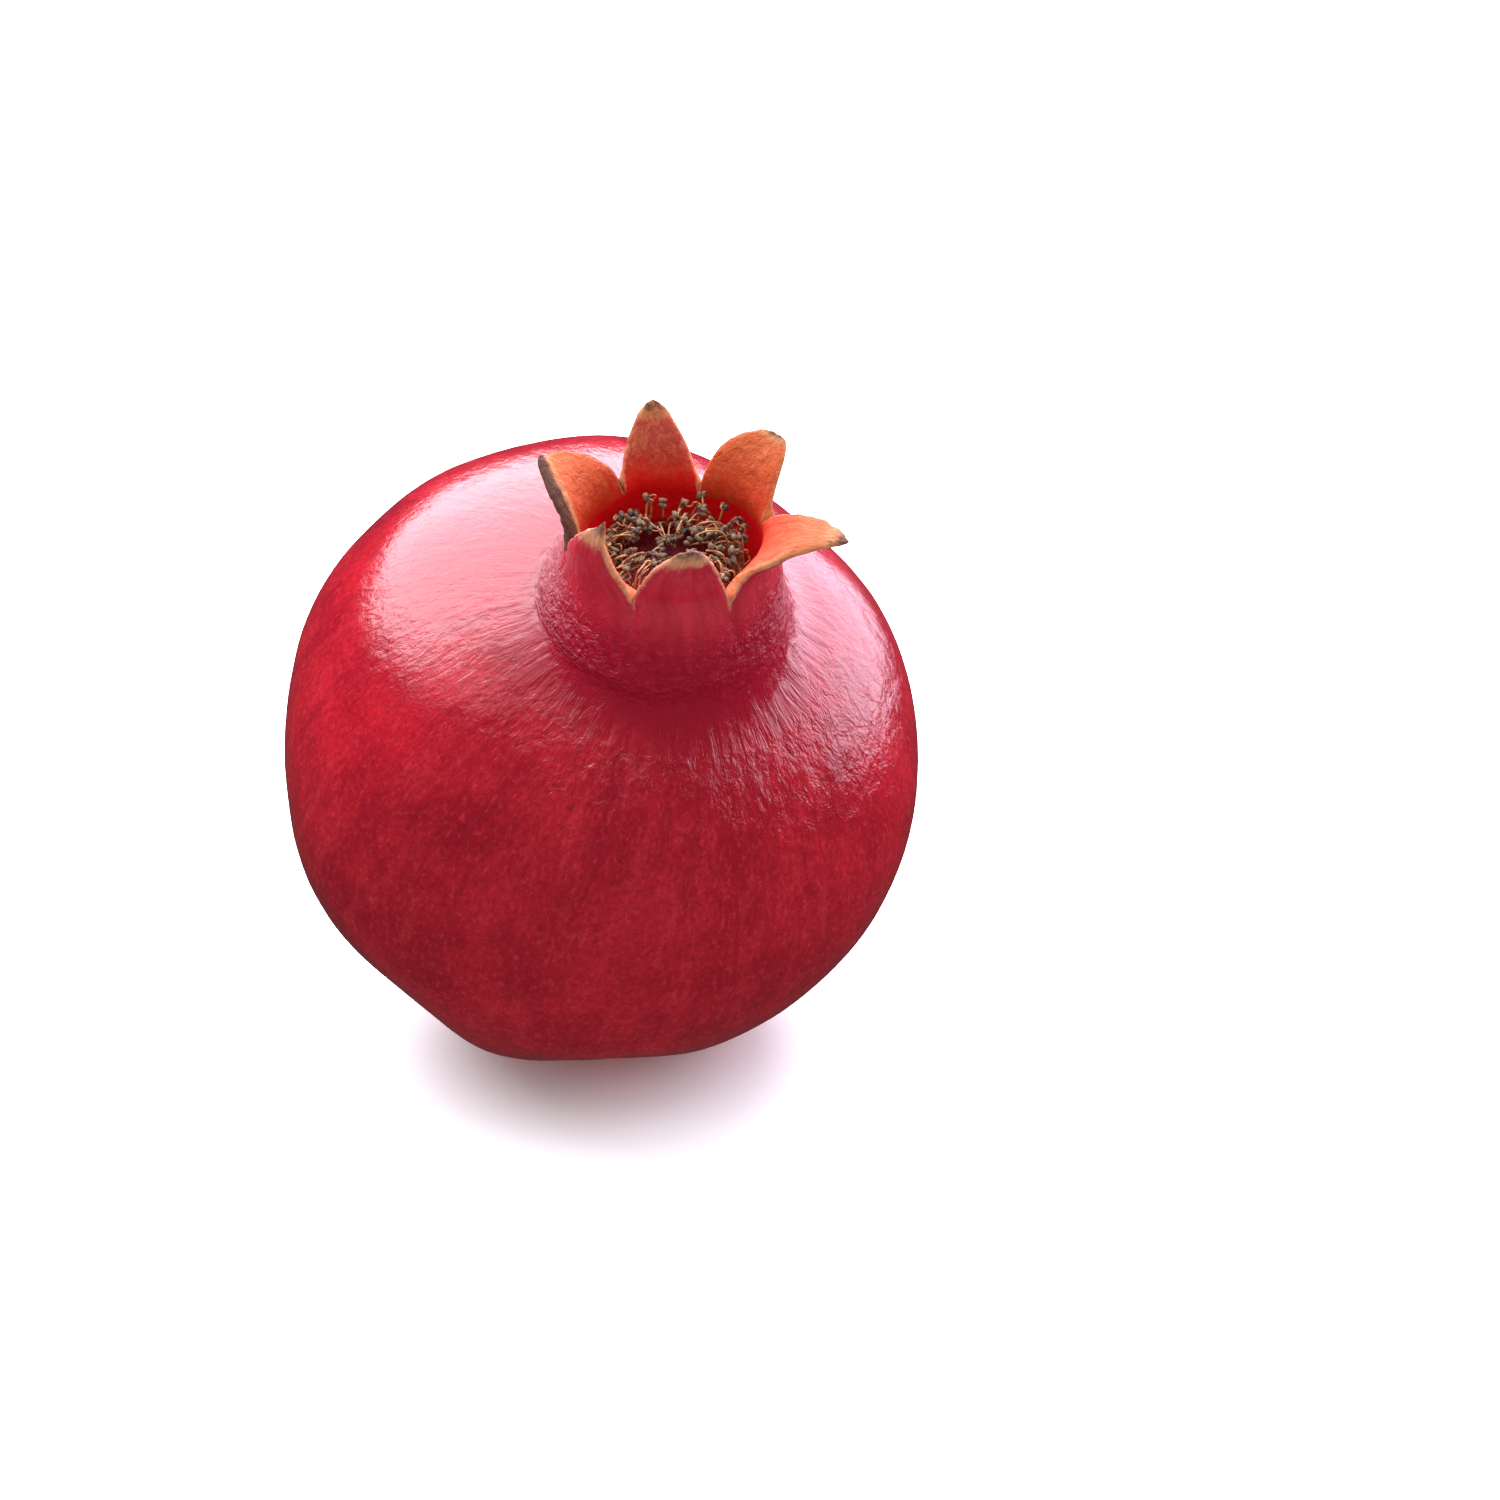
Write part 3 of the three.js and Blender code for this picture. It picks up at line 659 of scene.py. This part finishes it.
def stamen_surfaces(draws):
    """The threads and their heads. The mark tone is one draw from 0 to 1 for each stamen."""
    threads, anthers = Surface("tone"), Surface("tone")
    root = NECK_RADIUS - NECK_WALL / 2 - PIECE_GAP - DISH_THICKNESS / 2
    for i in range(STAMEN_COUNT):
        azimuth = (i + draws.uniform(-0.4, 0.4)) / STAMEN_COUNT * 2 * np.pi
        reach = mix(*STAMEN_REACH, draws.uniform() ** 0.6)
        height = draws.uniform(*STAMEN_HEIGHT)
        swing = draws.uniform(-STAMEN_SWING, STAMEN_SWING)
        foot = draws.uniform(*STAMEN_FOOT)
        knots = [
            around(foot, azimuth, root),
            around(mix(foot, height, 0.45), azimuth + swing * 0.3, root - draws.uniform(0.6, 2.4)),
            around(height - draws.uniform(0.2, 1.6), azimuth + swing * 0.7, mix(root, reach, 0.5)),
            around(height, azimuth + swing, reach),
        ]
        knots.append(knots[-1] + draws.uniform(-1, 1, 3) * [1.1, 1.1, 0.7])
        line = curve_through(knots, THREAD_POINTS)
        line += curl_of(line, draws.uniform(*STAMEN_CURL), draws.uniform(*STAMEN_TURNS),
                        draws.uniform(0, 6))
        tone = draws.uniform(0, 1)
        tube(threads, line, np.linspace(*THREAD_RADII, THREAD_POINTS), THREAD_SIDES, tone=tone)
        way = unit(draws.normal(0, 1, 3) * [1, 1, 0.6])
        across = unit(np.cross(way, unit(line[-1] - line[-3])) + 1e-3)
        add_anther(anthers, line[-1], way, across, draws.uniform(*ANTHER_LENGTH),
                   draws.uniform(*ANTHER_WIDTH), tone)
    return threads, anthers


def dish_surface():
    """The thin dry lining of the cup that the stamens grow from."""
    surface = Surface()
    azimuths = np.arange(DISH_SIDES) / DISH_SIDES * 2 * np.pi
    rings = [surface.pole(DISH_SIDES, centreline(FLOOR_ALONG + PIECE_GAP)[0])]
    shares = np.linspace(0, 1, DISH_ROWS)
    inset = PIECE_GAP + DISH_THICKNESS
    rings += [surface.add(cup_point(azimuths, s, PIECE_GAP)) for s in shares[::-1]]
    rings += [surface.add(cup_point(azimuths, s, inset)) for s in shares]
    rings.append(surface.pole(DISH_SIDES, centreline(FLOOR_ALONG + inset)[0]))
    surface.stack(rings)
    return surface


# The stem

def stub_surface():
    """The stub from its sunken cut end to its foot in the dimple. The mark cut is 1 on the end."""
    surface = Surface("cut")
    azimuths = np.arange(STUB_SIDES) / STUB_SIDES * 2 * np.pi
    foot_polar = np.arcsin(STUB_FOOT_RADIUS / STEM_HALF_HEIGHT)
    ribs = 1 + sum(height * np.cos(count * azimuths + turn) for count, height, turn in STUB_RIBS)

    def foot_ring(share):
        points = body_point(azimuths, np.pi - foot_polar * share)
        return points + unit(points) * PIECE_GAP

    def level(radius, z, cut=0.0):
        wave = radius * ribs
        points = [wave * np.cos(azimuths), wave * np.sin(azimuths), np.full(STUB_SIDES, z)]
        return surface.add(np.stack(points, -1), cut=cut)

    end = foot_ring(0.0)[0][2] - STUB_LENGTH
    edge = foot_ring(1.0)
    top = surface.add(edge)
    rings = [surface.pole(STUB_SIDES, [0, 0, end + STUB_MIDDLE_SUNK], cut=1.0)]
    rings += [level(STUB_RADIUS * share, end + sunk, 1.0) for share, sunk in STUB_END]
    rings.append(level(STUB_RADIUS, end + STUB_BEVEL, 0.5))
    for share in np.linspace(0.1, 0.9, STUB_ROWS):
        radius = mix(STUB_RADIUS, STUB_FOOT_RADIUS * 0.98, smooth(share, 0.35, 1.05))
        rings.append(level(radius, mix(end + STUB_BEVEL, edge[0][2], share)))
    rings.append(top)
    rings.append(surface.add(foot_ring(0.5)))
    rings.append(surface.pole(STUB_SIDES, foot_ring(0.0)[0]))
    surface.stack(rings)
    return surface


# Materials. Each colour is what a screen shows, from 0 to 255.

CLOUD_DARK = (134, 6, 24)
CLOUD_PALE = (158, 18, 34)
# The next colour is partly painted light: the lit flank made lighter, over the rind's own paler tone.
LIT_PALE_FLANK = (186, 22, 36)
STREAK_PALE = (184, 42, 56)
STREAK_DARK = (118, 2, 24)
DASH_PALE = (196, 54, 68)
DASH_DARK = (116, 2, 24)
PORE = (104, 4, 20)
LINING_RED = (206, 3, 10)
LINING_ORANGE = (178, 46, 18)
LINING_GOLD = (190, 92, 48)
LINING_PINK = (176, 74, 62)
LINING_CREST = (198, 116, 80)
DRY_TAN = (190, 122, 80)
DRY_BROWN = (62, 36, 28)
# The next colour is painted shade in the hollow round the crown's foot.
FOOT_SHADE_RED = (138, 3, 31)
TUBE_DARK = (164, 6, 34)
TUBE_PALE = (188, 24, 50)
# The next colour is a painted highlight on the crests of the foot's wrinkles.
WRINKLE_HIGHLIGHT = (172, 40, 64)
BARK_PALE = (122, 88, 56)
BARK_DARK = (80, 56, 38)
WOOD_PALE = (176, 142, 96)
WOOD_DARK = (150, 112, 70)
THREAD_COLOURS = [(190, 140, 92), (134, 88, 56)]
ANTHER_COLOURS = [(120, 98, 72), (50, 38, 29)]
CUP_COLOURS = [(140, 16, 28), (104, 12, 22)]
FLOOR_COLOURS = [(246, 246, 246), (249, 249, 249)]

# How deep each fine relief is, in millimetres.
LINES_DEPTH = 0.28
FOOT_WRINKLES_DEPTH = 0.55
PORES_DEPTH = 0.022
CREASES_DEPTH = 0.6
GRAIN_DEPTH = 0.25
BARK_DEPTH = 0.2
PLAIN_DEPTH = 0.1

POLISHED = 0.17  # roughness of the waxy skin
MATT = 0.62  # and of the dry skin


class Nodes:
    """A short way to lay out one material's nodes."""

    def __init__(self, name):
        self.material = bpy.data.materials.new(name)
        self.material.use_nodes = True
        self.tree = self.material.node_tree
        self.shader = self.tree.nodes["Principled BSDF"]

    def add(self, kind, inputs=(), **settings):
        node = self.tree.nodes.new(kind)
        for key, value in settings.items():
            setattr(node, key, value)
        for key, value in dict(inputs).items():
            self.set(node.inputs[key], value)
        return node

    def set(self, socket, value):
        if isinstance(value, bpy.types.NodeSocket):
            self.tree.links.new(value, socket)
        else:
            socket.default_value = value

    def mark(self, name):
        """The value of a mesh's mark."""
        return self.add("ShaderNodeAttribute", attribute_name=name).outputs["Fac"]

    def place(self, scale=(1, 1, 1)):
        """Places in metres in the object's own frame, scaled along each axis."""
        coordinates = self.add("ShaderNodeTexCoord").outputs["Object"]
        return self.add("ShaderNodeMapping", {"Vector": coordinates, "Scale": scale}).outputs[0]

    def noise(self, scale, detail=4, rough=0.55, vector=None, distortion=0):
        """Noise of about 0 to 1, with a scale of so many lumps to the metre."""
        inputs = {"Vector": vector or self.place(), "Scale": scale, "Detail": detail,
                  "Roughness": rough, "Distortion": distortion}
        return self.add("ShaderNodeTexNoise", inputs).outputs["Fac"]

    def ramp(self, value, low, high, to_low=0.0, to_high=1.0):
        """Eases from one value to another while the given value goes from low to high."""
        inputs = {"Value": value, "From Min": low, "From Max": high,
                  "To Min": to_low, "To Max": to_high}
        return self.add("ShaderNodeMapRange", inputs, interpolation_type="SMOOTHSTEP").outputs[0]

    def math(self, operation, a, b=0.0):
        return self.add("ShaderNodeMath", {0: a, 1: b}, operation=operation).outputs[0]

    def swing(self, value, share):
        """A value of 0 to 1 moved to swing about 0, and scaled by a share."""
        return self.math("MULTIPLY", self.math("SUBTRACT", value, 0.5), share)

    def mix(self, factor, a, b, blend="MIX"):
        node = self.add("ShaderNodeMix", data_type="RGBA", blend_type=blend)
        self.set(node.inputs["Factor"], factor)
        self.set(node.inputs["A"], a)
        self.set(node.inputs["B"], b)
        return node.outputs["Result"]

    def bump(self, height, strength, distance, normal=None):
        """A normal tilted by a relief whose height of 1 is so many metres."""
        inputs = {"Height": height, "Strength": strength, "Distance": distance}
        if normal:
            inputs["Normal"] = normal
        return self.add("ShaderNodeBump", inputs).outputs["Normal"]


def colour(shown):
    """A linear colour from the 0 to 255 values that a screen shows."""
    c = np.array(shown) / 255
    linear = np.where(c <= 0.04045, c / 12.92, ((c + 0.055) / 1.055) ** 2.4)
    return (*(float(x) for x in linear), 1.0)


def on_skin(n, squeeze):
    """Places on the skin, squeezed along the way from stem to crown, so that noise draws streaks."""
    flat = n.add("ShaderNodeCombineXYZ", {
        "X": n.math("MULTIPLY", n.mark("east"), SKIN_RADIUS * MM),
        "Y": n.math("MULTIPLY", n.mark("north"), SKIN_RADIUS * MM),
        "Z": n.math("MULTIPLY", n.mark("along"), squeeze * MM)})
    return flat.outputs[0]


def body_colour(n):
    """Crimson, clouded, lighter on the lit flank (partly the rind's paler tone, partly painted light),
    streaked from stem to crown, with pale dashes and dark pores.
    """
    clouds = n.ramp(n.noise(70, 5, 0.62), 0.36, 0.66)
    skin = n.mix(clouds, colour(CLOUD_DARK), colour(CLOUD_PALE))
    # Partly painted light: lighter where east is low, on the lit flank, partly the rind's own paler
    # tone.
    lit_pale_flank = n.math("SUBTRACT", n.mark("east"), n.math("MULTIPLY", n.noise(60, 4), 1.2))
    skin = n.mix(n.ramp(lit_pale_flank, -1.3, -1.75, 0, 0.55), skin, colour(LIT_PALE_FLANK))
    broad = on_skin(n, 0.13)
    skin = n.mix(n.ramp(n.noise(420, 4, 0.65, broad), 0.5, 0.75, 0, 0.35), skin, colour(STREAK_PALE))
    skin = n.mix(n.ramp(n.noise(300, 4, 0.6, broad), 0.5, 0.3, 0, 0.45), skin, colour(STREAK_DARK))
    dashes = n.noise(1900, 5, 0.7, on_skin(n, 0.4))
    skin = n.mix(n.ramp(dashes, 0.5, 0.72, 0, 0.45), skin, colour(DASH_PALE))
    skin = n.mix(n.ramp(dashes, 0.5, 0.32, 0, 0.4), skin, colour(DASH_DARK))
    return n.mix(n.ramp(n.noise(1500, 3, 0.6), 0.5, 0.3, 0, 0.5), skin, colour(PORE))


def sepal_lining(n, crown):
    """Deep red low in the crown, turning orange up the sepals, and tan on their wrinkles."""
    gold, fibres = n.mark("gold"), n.noise(400, 3, 0.5, on_skin(n, 0.3))
    height = n.math("ADD", crown, n.swing(fibres, 0.3))
    height = n.math("ADD", height, n.swing(gold, 0.9))
    lining = n.mix(n.ramp(height, 0.85, 1.45), colour(LINING_RED), colour(LINING_ORANGE))
    lining = n.mix(n.ramp(height, 1.2, 2.1), lining, colour(LINING_GOLD))
    pinkish = n.math("MULTIPLY", n.ramp(gold, 0.7, 0.3), n.ramp(height, 1.0, 1.5))
    lining = n.mix(pinkish, lining, colour(LINING_PINK))
    crests = n.math("MULTIPLY", n.ramp(n.noise(280, 4, 0.65, on_skin(n, 4), 0.8), 0.46, 0.62),
                    n.ramp(height, 1.0, 1.6, 0, 0.7))
    crests = n.math("MULTIPLY", crests, n.ramp(gold, 0.8, 0.4, 0.3, 1))
    return n.mix(crests, lining, colour(LINING_CREST))


def dried(n, skin, rust):
    """Dry parts: tan, then brown where they are oldest."""
    dry = n.math("ADD", rust, n.swing(n.noise(900, 4, 0.7), 0.9))
    skin = n.mix(n.ramp(dry, 0.2, 0.6), skin, colour(DRY_TAN))
    return n.mix(n.ramp(dry, 0.65, 1.15, 0, 0.9), skin, colour(DRY_BROWN))


def wrinkled(n, share, squeeze, rust, normal=None):
    """Leathery creases over a share of their full depth, and grain where the skin has dried."""
    creases = n.swing(n.noise(330, 5, 0.62, on_skin(n, squeeze), 0.7), share)
    normal = n.bump(creases, 1, CREASES_DEPTH * MM, normal)
    return n.bump(n.swing(n.noise(1500, 4, 0.7), rust), 1, GRAIN_DEPTH * MM, normal)


def foot_wrinkles(n, crown):
    """Wrinkles across the foot of the crown's tube."""
    on_foot = n.math("MULTIPLY", n.ramp(crown, -0.8, 0.0), n.ramp(crown, 1.0, 0.3))
    return n.swing(n.noise(420, 4, 0.6, on_skin(n, 3.2), 0.5), on_foot)


def rind_colour(n, crown, wrinkles):
    """The body's colours, painted shade as deep crimson round the crown's foot, then the tube's red, and
    a painted highlight on the crests of the foot's wrinkles.
    """
    # Painted shade: a deep crimson band in the hollow round the crown's foot.
    skin = n.mix(n.ramp(crown, -1.1, -0.5), body_colour(n), colour(FOOT_SHADE_RED))
    tube_red = n.mix(n.ramp(n.noise(180, 3, 0.6, on_skin(n, 0.6)), 0.3, 0.75),
                     colour(TUBE_DARK), colour(TUBE_PALE))
    skin = n.mix(n.ramp(crown, 0.1, 0.9), skin, tube_red)
    # Painted highlight: paler pink on the crests of the foot's wrinkles.
    return n.mix(n.ramp(wrinkles, 0.0, 0.16, 0, 0.25), skin, colour(WRINKLE_HIGHLIGHT))


def rind_relief(n, crown, rust, wrinkles):
    """Lines towards the crown, wrinkles across its foot, pores, and creases where it is leathery."""
    along = n.mark("along")
    front = n.math("ADD", n.math("MULTIPLY", n.mark("east"), FRONT_EAST),
                   n.math("MULTIPLY", n.mark("north"), FRONT_NORTH))
    leathery = n.math("MULTIPLY", n.ramp(along, 84, 116), n.ramp(front, 0.0, 0.8, 0.25, 0.9))
    leathery = n.math("MAXIMUM", leathery, n.ramp(crown, -0.8, 0.2))
    shoulder = n.math("MULTIPLY", n.ramp(along, 60, 116, 0.12, 1), n.ramp(crown, -0.2, -0.9))
    shoulder = n.math("MULTIPLY", shoulder, n.ramp(front, 0.0, 0.8, 0.55, 1))
    lines = n.swing(n.noise(800, 4, 0.6, on_skin(n, 0.4), 0.4), shoulder)
    normal = n.bump(lines, 1, LINES_DEPTH * MM)
    normal = n.bump(wrinkles, 1, FOOT_WRINKLES_DEPTH * MM, normal)
    normal = n.bump(n.noise(1000, 3, 0.5), 1, PORES_DEPTH * MM, normal)
    return wrinkled(n, leathery, 0.8, rust, normal)


def rind_material():
    """Waxy skin, duller up the crown's tube and matt where it has dried."""
    n = Nodes("rind")
    crown, rust = n.mark("crown"), n.mark("rust")
    wrinkles = foot_wrinkles(n, crown)
    n.set(n.shader.inputs["Base Color"], dried(n, rind_colour(n, crown, wrinkles), rust))
    n.set(n.shader.inputs["Normal"], rind_relief(n, crown, rust, wrinkles))
    dull = n.math("MAXIMUM", n.ramp(crown, 0.1, 0.9, 0, 0.42), n.ramp(rust, 0.0, 0.6))
    n.set(n.shader.inputs["Roughness"], n.ramp(dull, 0, 1, POLISHED, MATT))
    n.set(n.shader.inputs["Specular IOR Level"], 0.75)
    return n


def lining_material():
    """The matt inner faces of the tube and the sepals."""
    n = Nodes("crown_lining")
    crown, rust = n.mark("crown"), n.mark("rust")
    n.set(n.shader.inputs["Base Color"], dried(n, sepal_lining(n, crown), rust))
    n.set(n.shader.inputs["Normal"], wrinkled(n, n.ramp(crown, 0.8, 1.5), 3.5, rust))
    n.set(n.shader.inputs["Roughness"], 0.6)
    n.set(n.shader.inputs["Specular IOR Level"], 0.2)
    return n


def stem_material():
    """Ridged bark, and the paler wood of the cut end."""
    n = Nodes("stem")
    cut = n.mark("cut")
    bark = n.mix(n.ramp(n.noise(500, 4, 0.6, n.place((3, 3, 1))), 0.35, 0.65),
                 colour(BARK_PALE), colour(BARK_DARK))
    wood = n.mix(n.ramp(n.noise(1600, 3), 0.4, 0.6), colour(WOOD_PALE), colour(WOOD_DARK))
    n.set(n.shader.inputs["Base Color"], n.mix(cut, bark, wood))
    n.set(n.shader.inputs["Normal"], n.bump(n.noise(900, 4, 0.65), 1, BARK_DEPTH * MM))
    n.set(n.shader.inputs["Roughness"], 0.8)
    return n


def plain_material(name, colours, scale, roughness):
    """Two mottled colours and a faint relief."""
    n = Nodes(name)
    first, second = colours
    n.set(n.shader.inputs["Base Color"],
          n.mix(n.ramp(n.noise(scale), 0.35, 0.65), colour(first), colour(second)))
    n.set(n.shader.inputs["Normal"], n.bump(n.noise(scale * 1.6), 1, PLAIN_DEPTH * MM))
    n.set(n.shader.inputs["Roughness"], roughness)
    return n


# The scene

# Distances are in metres, the elevation in degrees, and the lens and sensor in millimetres.
LIGHT_DISTANCE = 0.6
ROOM_TINT = (1, 0.95, 1.06)
SIDE_TINT = (0.98, 0.9, 1.12)
ROOM_IN_MIRROR = 0.04  # how bright the white room is in the skin's reflections
FLOOR_WIDTH = 6.0
CAMERA_ELEVATION = 27
CAMERA_DISTANCE = 0.7
CAMERA_AIM_RIGHT = 0.0225  # so that the body's middle falls left of the frame's middle
CAMERA_LENS = 110.5
CAMERA_SENSOR = 36


def dress(made, materials, node):
    """Gives a piece its materials, hangs it from the root body, and hides the part's solid that it
    stands for.
    """
    for material in materials:
        made.data.materials.append(material.material)
    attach(made, "root")
    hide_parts(node)


def softbox(name, towards, width, height, radiance, tint=ROOM_TINT):
    """An evenly bright ellipse that faces the fruit from a direction."""
    light = bpy.data.lights.new(name, "AREA")
    light.shape = "ELLIPSE"
    light.size, light.size_y = width, height
    light.color = tint
    light.energy = radiance * np.pi * (np.pi / 4 * width * height)
    made = bpy.data.objects.new(name, light)
    made.location = Vector((0, 0, REST_HEIGHT * MM)) + Vector(towards).normalized() * LIGHT_DISTANCE
    made.rotation_mode = "QUATERNION"
    made.rotation_quaternion = Vector(towards).to_track_quat("Z", "Y")
    made.visible_camera = False
    bpy.context.scene.collection.objects.link(made)


def make_floor():
    """A pale floor, which doesn't mirror in the rind."""
    mesh = bpy.data.meshes.new("floor")
    half = FLOOR_WIDTH / 2
    mesh.from_pydata([(-half, -half, 0), (half, -half, 0), (half, half, 0), (-half, half, 0)],
                     [], [(0, 1, 2, 3)])
    floor = bpy.data.objects.new("floor", mesh)
    bpy.context.scene.collection.objects.link(floor)
    n = plain_material("floor", FLOOR_COLOURS, 3, 0.9)
    n.set(n.shader.inputs["Specular IOR Level"], 0.0)
    mesh.materials.append(n.material)
    floor.visible_glossy = False
    floor.visible_diffuse = False
    floor.visible_shadow = False


def make_camera():
    """A view from the side that the crown leans to, a little from above."""
    elevation = np.radians(CAMERA_ELEVATION)
    camera = bpy.data.cameras.new("camera")
    camera.sensor_width = CAMERA_SENSOR
    camera.lens = CAMERA_LENS
    made = bpy.data.objects.new("camera", camera)
    aim = Vector((CAMERA_AIM_RIGHT, 0, REST_HEIGHT * MM))
    back = Vector((0, -np.cos(elevation), np.sin(elevation)))
    made.location = aim + back * CAMERA_DISTANCE
    made.rotation_mode = "QUATERNION"
    made.rotation_quaternion = back.to_track_quat("Z", "Y")
    bpy.context.scene.collection.objects.link(made)
    bpy.context.scene.camera = made


def make_lights():
    """A softbox overhead behind a wide scrim, one to the right, and even light from a white room."""
    softbox("top_softbox", (-0.15, 0.54, 0.84), width=1.36, height=1.0, radiance=4.5)
    softbox("top_scrim", (-0.12, 0.3, 0.95), width=1.6, height=1.66, radiance=1.1)
    softbox("right_softbox", (0.74, 0.57, 0.38), width=1.05, height=0.66, radiance=3.8, tint=SIDE_TINT)
    world = bpy.data.worlds.new("studio")
    world.use_nodes = True
    nodes, links = world.node_tree.nodes, world.node_tree.links
    mirrored = nodes.new("ShaderNodeLightPath").outputs["Is Glossy Ray"]
    strength = nodes.new("ShaderNodeMapRange")
    strength.inputs["To Min"].default_value = 1.0
    strength.inputs["To Max"].default_value = ROOM_IN_MIRROR
    links.new(mirrored, strength.inputs["Value"])
    links.new(strength.outputs[0], nodes["Background"].inputs["Strength"])
    nodes["Background"].inputs["Color"].default_value = (1, 1, 1, 1)
    bpy.context.scene.world = world
    bpy.context.scene.view_settings.view_transform = "Standard"


make_camera()
make_lights()
make_floor()

fruit = fruit_surface().object("fruit_rind")
shape_fruit(fruit)
dress(fruit, [rind_material(), lining_material()], "fruit")

threads, anthers = stamen_surfaces(np.random.default_rng(STAMEN_SEED))
dry_pieces = {
    "stamen_threads": (threads, THREAD_COLOURS),
    "anthers": (anthers, ANTHER_COLOURS),
    "stamen_lining": (dish_surface(), CUP_COLOURS),
}
for name, (surface, colours) in dry_pieces.items():
    dress(surface.object(name), [plain_material(name, colours, 900, 0.7)], "stamens")

dress(stub_surface().object("stem_bark"), [stem_material()], "stem_stub")
